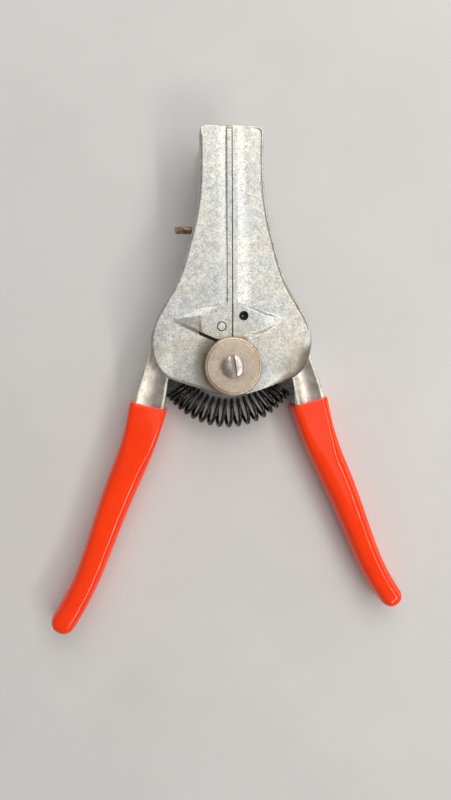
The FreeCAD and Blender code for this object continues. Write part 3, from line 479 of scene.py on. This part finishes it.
def right_stamp(x, y):
    """Star, slope along the split and a fine groove along the outer edge."""
    wide = SLOPE_WIDE + SLOPE_SPREAD * (76.0 - y)
    slope = SLOPE_RISE * wide * eased(1 - (x - SLOPE_START) / wide) * smooth(14.0, 20.0, y)
    groove = GROOVE_DEEP * math.exp(-((to_edge(x, y) - GROOVE_IN) / GROOVE_HALF) ** 2)
    groove *= smooth(9.0, 17.0, y) * smooth(6.5, 8.5, x)
    star = facet_height(x, y, RIGHT_STAR) if y < STRIP_END else 0.0
    return max(slope, star) - groove


def left_sheet(x, y):
    """Fall of the unstamped left half, which is folded down along the star's lower edge."""
    rise = (LEFT_TIP[1] - NOTCH[1]) / (LEFT_TIP[0] - NOTCH[0])
    fold_y = NOTCH[1] + rise * (min(x, LEFT_TIP[0]) - NOTCH[0]) - 0.3 * max(x - LEFT_TIP[0], 0.0)
    below = fold_y - y
    return -FOLD_DROP * smooth(0.0, 0.8, below) * (1 - smooth(4.0, 22.0, x - 0.6 * below))


def left_stamp(x, y):
    """Star, raised strip along the split and a dip beside the strip."""
    if y < STRIP_END:
        return facet_height(x, y, LEFT_STAR)
    if x < STRIP:
        return STRIP_HIGH + (LEFT_HIGH - STRIP_HIGH) * smooth(29.0, 22.0, y) - 0.7 * smooth(79.4, 81.0, y)
    dip = DIP_DEEP + DIP_MORE * smooth(30.0, 62.0, y)
    return -dip * eased(1 - (x - STRIP) / DIP_WIDE)


def middle_x(y, outer):
    """Where the inner columns of the skin end: at the slit's end below, nearer the split above."""
    return min(NOTCH[0] - 5.0 * smooth(16.0, 30.0, y), 0.5 * outer if y < 0 else outer)


def slit_x(y):
    """Upper edge of the slit below the left star, at this height of the drawing."""
    return FOOT[0] + (NOTCH[0] - FOOT[0]) * (y - FOOT[1]) / (NOTCH[1] - FOOT[1])


def foot_x(y):
    """Inner end of the left lobe's rows: along the slit's lower edge, then hidden below the washer."""
    low = FOOT[1] - SLIT_WIDE
    if y > low:
        return min(slit_x(y + SLIT_WIDE), NOTCH[0])
    return GAP + (FOOT[0] - GAP) * max(0.0, (y + 6.0) / (low + 6.0))


def plate_painted_shade(side, x, y):
    """Painted shade round the washer and over the lower left lobe, more on the left, where the sheet lies
    deeper; also painted shade on the left tail's lower facet and along the right lobe's rolled-down lower
    rim.
    """
    away = math.hypot(x, y)
    if side < 0:
        washer_shade = 0.6 * smooth(16.5, 10.8, away) * smooth(11.0, 8.0, y) + 0.17 * smooth(15.0, 8.0, y)
        return washer_shade + 0.2 * facet_height(x, y, LEFT_TAIL)
    rim = smooth(10.5, 1.0, to_edge(x, y)) * smooth(11.0, 4.0, y) * smooth(13.0, 21.0, x)
    return 0.12 * smooth(14.5, 10.8, away) + 0.95 * rim


def join_rows(bm, first, second):
    for a, b, c, e in zip(first[:-1], first[1:], second[1:], second[:-1]):
        bm.faces.new((a, b, c, e))


def punch(bm, x, y, radius):
    """Round hole through a skin."""
    centre = Vector((x, y)) * MM
    inside = [f for f in bm.faces if (f.calc_center_median().xy - centre).length < radius * MM]
    bmesh.ops.delete(bm, geom=inside, context="FACES")
    for v in bm.verts:
        away = v.co.xy - centre
        if v.is_boundary and away.length < (radius + 0.5) * MM:
            v.co.xy = centre + away * (radius * MM / away.length)


def thicken(bm, low):
    """Closes a skin with a lower face at the given height below each of its points."""
    skin = bm.faces[:]
    rim = [e for e in bm.edges if e.is_boundary]
    twin = {v: bm.verts.new((v.co.x, v.co.y, low[v])) for v in bm.verts[:]}
    for face in skin:
        bm.faces.new([twin[v] for v in reversed(face.verts)])
    for edge in rim:
        a, b = edge.verts
        bm.faces.new((a, b, twin[b], twin[a]))


def lathe(bm, x, y, profile, sides=64):
    """Skin turned round an upright axis from a profile of radius and height; it ends on the axis."""
    rows = []
    turns = [2 * math.pi * k / sides for k in range(sides)]
    for radius, z in profile:
        ring = [mm(x + radius * math.cos(a), y + radius * math.sin(a), z) for a in turns]
        rows.append([bm.verts.new(p) for p in ring])
    for first, second in zip(rows[:-1], rows[1:]):
        join_rows(bm, first + first[:1], second + second[:1])
    for row in (rows[0], rows[-1]):
        bm.faces.new(row)


def arc_profile(centre_r, centre_z, radius, start, end, steps=6):
    """Part of a profile along an arc; angles in degrees from the outward direction."""
    angles = [math.radians(start + (end - start) * k / steps) for k in range(steps + 1)]
    return [(centre_r + radius * math.cos(a), centre_z + radius * math.sin(a)) for a in angles]


def plate_skin(side, sheet, stamp, roll, hole):
    """Closed sheet of one half; the left one has a slit between its star and its lobe."""
    bm = bmesh.new()
    painted_shade = bm.verts.layers.float.new("painted_shade")
    low = {}

    def spot(x, y, fall, height):
        base = Z_FACE + fall
        round_over = roll * (1 - HEAD_CRISP * smooth(77.0, 79.5, y))
        v = bm.verts.new(mm(side * x, y, base + height - rolled(x, y, round_over)))
        # painted shade for this point of the skin
        v[painted_shade] = plate_painted_shade(side, x, y)
        low[v] = (Z_FACE + (UNDER_FALL if side > 0 else 1.0) * fall - SHEET) * MM
        return v

    def inner_xs(end):
        return [GAP + (end - GAP) * k / INNER_COLUMNS for k in range(INNER_COLUMNS + 1)]

    def outer_xs(start, end):
        return [end - (end - start) * (1 - k / OUTER_COLUMNS) ** 1.4 for k in range(OUTER_COLUMNS + 1)]

    rows = [Vector(p) for p in PLATE_EDGE]
    next(p for p in rows if p.y < NOTCH[1]).y = NOTCH[1]
    whole, star, lobe = [], [], []
    for outer, y in rows:
        if side > 0 or y > NOTCH[1] - TINY:
            middle = middle_x(y, outer)
            xs = inner_xs(middle) + outer_xs(middle, outer)[1:]
            row = [spot(x, y, sheet(x, y), stamp(x, y)) for x in xs]
            join_rows(bm, whole, row)
            whole = row
            star, lobe = row[:INNER_COLUMNS + 1], row[INNER_COLUMNS:]
            continue
        if y > FOOT[1]:
            row = [spot(x, y, 0.0, stamp(x, y)) for x in inner_xs(slit_x(y))]
            join_rows(bm, star, row)
            star = row
        row = [spot(x, y, sheet(x, y), 0.0) for x in outer_xs(foot_x(y), outer)]
        join_rows(bm, lobe, row)
        lobe = row
    punch(bm, side * hole[0], hole[1], hole[2])
    thicken(bm, low)
    return bm


def plate_walls(node):
    """Flange, inner wall, hinge ears and hub of the solid plate, below its stamped skin."""
    bm = bmesh.new()
    bm.from_mesh(cad[node].data)
    bmesh.ops.remove_doubles(bm, verts=bm.verts, dist=TINY)
    gone = []
    under = Z_FACE - SHEET
    for face in bm.faces:
        spots = [v.co / MM for v in face.verts]
        hub = all(p.xy.length < HUB_RAD for p in spots)
        behind = all(p.y > WALL_START and p.z < under + 0.01 for p in spots)
        wall = behind and any(p.z < under - 0.05 for p in spots)
        if not (hub or wall):
            gone.append(face)
    bmesh.ops.delete(bm, geom=gone, context="FACES")
    return bm


def slit_shade_sheet():
    """Dark sheet between the hubs, painted shade that darkens the slit and shows in it with a pale edge.
    """
    bm = bmesh.new()
    rings = []
    for k in range(SHADE_SHEET_STEPS + 1):
        y = FOOT[1] - 1.0 + (NOTCH[1] - FOOT[1] + 1.6) * k / SHADE_SHEET_STEPS
        x = -slit_x(y)
        upper, lower = y + SHADE_SHEET_ABOVE, y - SHADE_SHEET_BELOW
        rings.append([mm(x, upper, SHADE_SHEET_TOP), mm(x, lower, SHADE_SHEET_TOP),
                      mm(x, lower, SHADE_SHEET_LOW), mm(x, upper, SHADE_SHEET_LOW)])
    tube(bm, rings)
    return bm


def make_plates():
    skins = {"right": plate_skin(1, right_sheet, right_stamp, 0.8, (RIGHT_PIN[0], RIGHT_PIN[1], 1.65)),
             "left": plate_skin(-1, left_sheet, left_stamp, 1.2, (LEFT_PIN[0], LEFT_PIN[1], 1.7))}
    for side, skin in skins.items():
        node, body = side + "_front_plate", side + "_frame"
        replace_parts(add_piece(side + "_plate_skin", skin, "zinc_plate", body, 40), node)
        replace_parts(add_piece(side + "_plate_walls", plate_walls(node), "zinc_plate", body), node)
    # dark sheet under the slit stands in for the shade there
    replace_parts(add_piece("slit_shade_sheet", slit_shade_sheet(), "dark_screw", "left_frame"), "left_front_plate")


# pivot washer and screw, stop pins and the threaded stud
WASHER_RAD, WASHER_TOP, WASHER_RIM, WASHER_BORE = 10.35, 22.35, 0.95, 2.6
HEAD_RAD, HEAD_TOP, HEAD_ROUND, HEAD_FALL = 4.1, 25.3, 0.045, 0.0013
HEAD_ROWS, HEAD_COLUMNS = 26, 20
SLOT_HALF, SLOT_BEVEL, SLOT_FLOOR, SLOT_TURN = 0.6, 0.14, 23.9, math.radians(8.5)
STUD_Y, STUD_Z, STUD_RAD, STUD_START, STUD_END = 47.8, 11.5, 1.4, 11.6, 19.5
THREAD_PITCH, THREAD_DEEP = 0.7, 0.28
STUD_CHAMFER, CHAMFER_LONG = 0.35, 0.45


def make_washer():
    """Large washer with a rounded rim and a fine groove inside it; painted shade on its lower left rim and
    in the groove.
    """
    bm = bmesh.new()
    profile = [(WASHER_BORE, Z_FACE), (WASHER_RAD - 0.25, Z_FACE), (WASHER_RAD, Z_FACE + 0.3)]
    profile += arc_profile(WASHER_RAD - WASHER_RIM, WASHER_TOP - WASHER_RIM, WASHER_RIM, 0, 90)
    groove = ((1.02, 0.0), (1.12, 0.12), (1.28, 0.12), (1.4, 0.02), (1.5, 0.02), (1.7, 0.02))
    profile += [(WASHER_RAD - inset, WASHER_TOP - deep) for inset, deep in groove]
    profile += [(4.6, WASHER_TOP - 0.02), (WASHER_BORE, WASHER_TOP - 0.02)]
    painted_shade = bm.verts.layers.float.new("painted_shade")
    lathe(bm, 0, 0, profile, 96)
    for v in bm.verts:
        inset = WASHER_RAD - v.co.xy.length / MM
        # painted shade on the lower left rim and in the groove
        lower_left = -(0.9 * v.co.x + 0.45 * v.co.y) / (WASHER_RAD * MM)
        shade_amount = 0.7 * smooth(0.2, 0.9, lower_left) * smooth(0.75, 0.25, inset)
        v[painted_shade] = max(shade_amount, 0.5 * math.exp(-((inset - 1.2) / 0.12) ** 2))
    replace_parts(add_piece("washer", bm, "washer_nickel", "right_frame", 50), "pivot_washer")


def make_screw():
    """Domed head with a bevelled slot; its rows run along the slot."""
    bm = bmesh.new()
    across = [HEAD_RAD * math.sin(math.pi / 2 * (k / HEAD_ROWS)) for k in range(-HEAD_ROWS + 1, HEAD_ROWS)]
    rows = [(u, 0.0) for u in across if abs(u) > SLOT_HALF + SLOT_BEVEL + 0.03]
    for way in (-1, 1):
        rows += [(way * (SLOT_HALF + SLOT_BEVEL), 0.0), (way * SLOT_HALF, SLOT_BEVEL),
                 (way * (SLOT_HALF - 0.03), HEAD_TOP)]
    rows = sorted(rows + [(0.0, HEAD_TOP)])
    painted_shade = bm.verts.layers.float.new("painted_shade")
    low, last = {}, None
    for u, deep in rows:
        reach = math.sqrt(HEAD_RAD ** 2 - u * u)
        # painted shade in the slot: darkest on its floor, lighter on its bevels
        shade_amount = 0.0 if deep == 0 else 0.55 if deep == HEAD_TOP else 0.3
        row = []
        for k in range(-HEAD_COLUMNS, HEAD_COLUMNS + 1):
            v = reach * math.sin(math.pi / 2 * k / HEAD_COLUMNS)
            away = u * u + v * v
            dome = HEAD_TOP - HEAD_ROUND * away - HEAD_FALL * away ** 2
            x, y = turned(u, v, SLOT_TURN)
            row.append(bm.verts.new(mm(x, y, min(max(dome - deep, SLOT_FLOOR), dome))))
            row[-1][painted_shade] = shade_amount
            low[row[-1]] = (WASHER_TOP - 0.25) * MM
        if last:
            join_rows(bm, last, row)
        last = row
    thicken(bm, low)
    screw = add_piece("screw_head", bm, "nickel", "right_frame", 40)
    shank = bmesh.new()
    lathe(shank, 0, 0, [(2.1, 0.0), (2.5, 0.4), (2.5, WASHER_TOP)], 40)
    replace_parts(screw, "pivot_screw")
    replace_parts(add_piece("screw_shank", shank, "nickel", "right_frame"), "pivot_screw")


def make_pins():
    """Flush pin in the star's left half; sunk, hollow pin with a bright core in its right half, in
    blackened steel as painted shade in its hole.
    """
    bm = bmesh.new()
    top = Z_FACE + on_star(*LEFT_PIN, LEFT_HIGH)[2] + 0.05
    flush = [(1.42, 10.9), (1.42, top - 0.15), (1.3, top - 0.03), (0.7, top)]
    lathe(bm, -LEFT_PIN[0], LEFT_PIN[1], flush, 40)
    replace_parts(add_piece("left_pin", bm, "zinc_plate", "left_frame", 30), "left_stop_pin")
    bm = bmesh.new()
    sunk = [(1.6, 13.6), (1.6, 19.4), (1.4, 19.6), (1.05, 19.4), (0.95, 18.4), (0.5, 18.2)]
    lathe(bm, RIGHT_PIN[0], RIGHT_PIN[1], sunk, 40)
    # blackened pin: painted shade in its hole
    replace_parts(add_piece("right_pin", bm, "dark_screw", "right_frame", 30), "right_stop_pin")
    bm = bmesh.new()
    core = [(0.5, 18.0), (0.5, 18.7), (0.35, 18.95), (0.12, 19.05)]
    lathe(bm, RIGHT_PIN[0], RIGHT_PIN[1], core, 24)
    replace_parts(add_piece("right_pin_core", bm, "nickel", "right_frame", 60), "right_stop_pin")


def make_stud():
    """Left hinge pin, whose end runs out as a threaded stud."""
    bm = bmesh.new()
    sides, step = 24, 0.07
    rings = []
    count = round((STUD_END - STUD_START) / step)
    for i in range(count + 1):
        x = STUD_START + (STUD_END - STUD_START) * i / count
        chamfer = STUD_CHAMFER * smooth(STUD_END - CHAMFER_LONG, STUD_END, x)
        ring = []
        for k in range(sides):
            phase = (x / THREAD_PITCH + k / sides) % 1.0
            radius = STUD_RAD - THREAD_DEEP * abs(2 * phase - 1) - chamfer
            a = 2 * math.pi * k / sides
            ring.append(mm(-x, STUD_Y + radius * math.cos(a), STUD_Z + radius * math.sin(a)))
        rings.append(ring)
    tube(bm, rings)
    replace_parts(add_piece("wire_stop_stud", bm, "bronze_stud", "left_frame", 25), "left_jaw_pin")
    pin = bmesh.new()
    pin.from_mesh(cad["left_jaw_pin"].data)
    bmesh.ops.remove_doubles(pin, verts=pin.verts, dist=TINY)
    gone = [f for f in pin.faces if any(v.co.x < -(STUD_START + 0.3) * MM for v in f.verts)]
    bmesh.ops.delete(pin, geom=gone, context="FACES")
    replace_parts(add_piece("left_hinge_pin", pin, "handle_steel", "left_frame"), "left_jaw_pin")


# pressed upper face of the bare part of each arm: inner flange, trough and outer rim
ARM_LINE = [(24.8, 4.0), (27.8, -6.0), (29.8, -14.0), (31.0, -18.5)]
ARM_HALF = [4.55, 4.95, 5.55, 5.5]
ARM_TOP, ARM_SKEW = 11.36, math.radians(0.8)
ARM_DEEP, ARM_TROUGH, ARM_RIM, ARM_ROUND = 1.1, 0.78, 0.3, 0.86
ARM_COLUMNS = 60
# painted shade along one side of each arm's trough: its amount, place across and width
ARM_SHADE, SHADE_PLACE, SHADE_WIDE = 0.42, 0.22, 0.28


def arm_profile(t):
    """Height over the arm's top at t from -1, the inner edge, to 1, the outer edge."""
    inside = min(abs(t) / ARM_TROUGH, 1.0)
    over = max(abs(t) - ARM_ROUND, 0.0) / (1 - ARM_ROUND)
    return ARM_RIM - ARM_DEEP * (1 - inside * inside) - 0.6 * over * over


def make_arm(side):
    """Pressed face laid on the arm, with brown painted shade along one side of its trough."""
    bm = bmesh.new()
    painted_shade = bm.verts.layers.float.new("painted_shade")
    low, last = {}, None
    name = "right" if side > 0 else "left"
    middle = spline(ARM_LINE, (0.28, -0.96), (0.26, -0.966), 0.5)
    for i, spot in enumerate(middle):
        along = (middle[min(i + 1, len(middle) - 1)] - middle[max(i - 1, 0)]).normalized()
        out = Vector((-along.y, along.x))
        share = i / (len(middle) - 1) * (len(ARM_HALF) - 1)
        k = min(int(share), len(ARM_HALF) - 2)
        half = ARM_HALF[k] + (ARM_HALF[k + 1] - ARM_HALF[k]) * (share - k)
        row = []
        for j in range(ARM_COLUMNS + 1):
            t = -1 + 2 * j / ARM_COLUMNS
            x, y = turned(*(spot + out * (t * half)), side * ARM_SKEW)
            row.append(bm.verts.new(mm(side * x, y, ARM_TOP + arm_profile(t))))
            # painted shade along one side of the trough
            row[-1][painted_shade] = ARM_SHADE * math.exp(-((side * t - SHADE_PLACE) / SHADE_WIDE) ** 2)
            low[row[-1]] = (ARM_TOP - 1.2) * MM
        if last:
            join_rows(bm, last, row)
        last = row
    thicken(bm, low)
    add_piece(name + "_arm_face", bm, "handle_steel", name + "_handle", 40)


# dipped grips: a rounded section swept along each arm
GRIP_LINE = [(29.8, -14.0), (32.9, -25.0), (41.4, -45.5), (49.5, -66.0), (56.5, -82.3)]
GRIP_HALF = [7.0, 6.3, 5.8, 5.0, 4.6]
GRIP_END = {1: (62.2, -91.7, 4.4), -1: (63.5, -94.1, 4.7)}
GRIP_TOP, GRIP_SIDES = 12.6, 72
GRIP_POWER, MOUTH_POWER = 2.9, 5.4
GRIP_LIP, END_RINGS, END_STEP, END_POWER = 0.3, 12, math.radians(7.4), 0.6


def grip_ring(spot, along, half, high, power, side):
    """Section across the grip: between an ellipse and a box."""
    out = Vector((-along.y, along.x))
    ring = []
    for k in range(GRIP_SIDES):
        a = 2 * math.pi * k / GRIP_SIDES
        across, up = (math.copysign(abs(v) ** (2 / power), v) for v in (math.cos(a), math.sin(a)))
        x, y = turned(*(spot + out * (half * across)), side * ARM_SKEW)
        ring.append(mm(side * x, y, GRIP_TOP / 2 * (1 + high * up)))
    return ring


def make_grip(side):
    """Sleeve that is boxy at its mouth and rounder along the hand, closed by a round end."""
    name = "right" if side > 0 else "left"
    end_x, end_y, end_half = GRIP_END[side]
    points = GRIP_LINE + [(end_x, end_y)]
    halves = GRIP_HALF + [end_half]
    line = spline(points, (0.25, -0.968), (0.545, -0.838), 0.6)
    marks = [min(range(len(line)), key=lambda i: (line[i] - Vector(p)).length) for p in points]
    rings = []
    for i, spot in enumerate(line):
        along = (line[min(i + 1, len(line) - 1)] - line[max(i - 1, 0)]).normalized()
        k = max(j for j in range(len(marks) - 1) if marks[j] <= i)
        share = (i - marks[k]) / (marks[k + 1] - marks[k])
        half = halves[k] + (halves[k + 1] - halves[k]) * share
        lip = GRIP_LIP if i == 0 else 0.0
        power = GRIP_POWER + (MOUTH_POWER - GRIP_POWER) * smooth(-38.0, -22.0, spot.y)
        rings.append(grip_ring(spot, along, half - lip, 1 - 2 * lip / GRIP_TOP, power, side))
    for k in range(1, END_RINGS + 1):
        sin, cos = math.sin(END_STEP * k), math.cos(END_STEP * k)
        spot = line[-1] + along * (end_half * sin)
        rings.append(grip_ring(spot, along, end_half * cos, cos ** END_POWER, GRIP_POWER, side))
    bm = bmesh.new()
    tube(bm, rings)
    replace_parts(add_piece(name + "_grip_sleeve", bm, "grip_vinyl", name + "_handle", 50), name + "_grip")


# return spring: a bowed coil in three lengths
SPRING_CENTRE_Y, SPRING_Z = 4.5, 5.7
SPRING_ARC, SPRING_COIL, SPRING_WIRE = 22.5, 4.95, 0.66
SPRING_TURNS = 18
SPRING_OPEN = 0.25
ARM_INNER, SPRING_TO_ARM = 22.9, 4.45
SPRING_SPAN = math.degrees(math.asin((ARM_INNER - SPRING_TO_ARM) / SPRING_ARC))
SPRING_PART = 26.3
JOIN_LAP = 0.25
COIL_STEPS, WIRE_SIDES = 28, 10


def spring_spot(angle, outward=0.0, up=0.0):
    turn = math.radians(angle)
    reach = SPRING_ARC + outward
    return mm(reach * math.sin(turn), SPRING_CENTRE_Y - reach * math.cos(turn), SPRING_Z + up)


def coil_angle(turn):
    """Place of a turn along the bow: open in the middle, close wound at the ends."""
    u = 2 * turn / SPRING_TURNS - 1
    return SPRING_SPAN * u * (1 + SPRING_OPEN * (1 - u * u))


def coil_spot(turn):
    phase = 2 * math.pi * turn
    return spring_spot(coil_angle(turn), SPRING_COIL * math.cos(phase), SPRING_COIL * math.sin(phase))


def wire_ring(turn):
    middle = coil_spot(turn)
    along = (coil_spot(turn + 0.001) - coil_spot(turn - 0.001)).normalized()
    out = (middle - spring_spot(coil_angle(turn))).normalized()
    side = along.cross(out)
    ring = []
    for i in range(WIRE_SIDES):
        a = 2 * math.pi * i / WIRE_SIDES
        ring.append(middle + (out * math.cos(a) + side * math.sin(a)) * SPRING_WIRE * MM)
    return ring


def spring_length(name, first_angle, last_angle):
    count = SPRING_TURNS * COIL_STEPS
    turns = [SPRING_TURNS * i / count for i in range(count + 1)]
    rings = [wire_ring(t) for t in turns if first_angle - TINY < coil_angle(t) < last_angle + JOIN_LAP]
    bm = bmesh.new()
    tube(bm, rings)
    piece = add_piece(name, bm, "black_wire", angle=60)
    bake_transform(piece)
    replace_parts(piece, "return_spring")


def make_spring():
    spring_length("spring_left", -SPRING_SPAN, -SPRING_PART)
    spring_length("spring_middle", -SPRING_PART, SPRING_PART)
    spring_length("spring_right", SPRING_PART, SPRING_SPAN)


# floor
FLOOR_HALF = 3.0


def make_floor():
    """Plain pale floor; its half width is in metres."""
    look = Shader("floor", Roughness=0.75)
    pale = look.ramp(look.noise(60, 3.0), (0.3, (0.59, 0.58, 0.57)), (0.7, (0.625, 0.615, 0.605)))
    look.feed("Base Color", pale)
    bm = bmesh.new()
    corners = ((-1, -1), (1, -1), (1, 1), (-1, 1))
    bm.faces.new([bm.verts.new((x * FLOOR_HALF, y * FLOOR_HALF, 0)) for x, y in corners])
    mesh = bpy.data.meshes.new("floor")
    bm.to_mesh(mesh)
    bm.free()
    floor = bpy.data.objects.new("floor", mesh)
    mesh.materials.append(look.material)
    scene.collection.objects.link(floor)


scene.view_settings.view_transform = "Standard"
set_camera()
set_light()
make_floor()
for row in frame["record"]["subparts"]:
    dress(cad[row["node"]], row["material_slot"])
make_plates()
make_washer()
make_screw()
make_pins()
make_stud()
for arm_side in (1, -1):
    make_arm(arm_side)
    make_grip(arm_side)
make_spring()
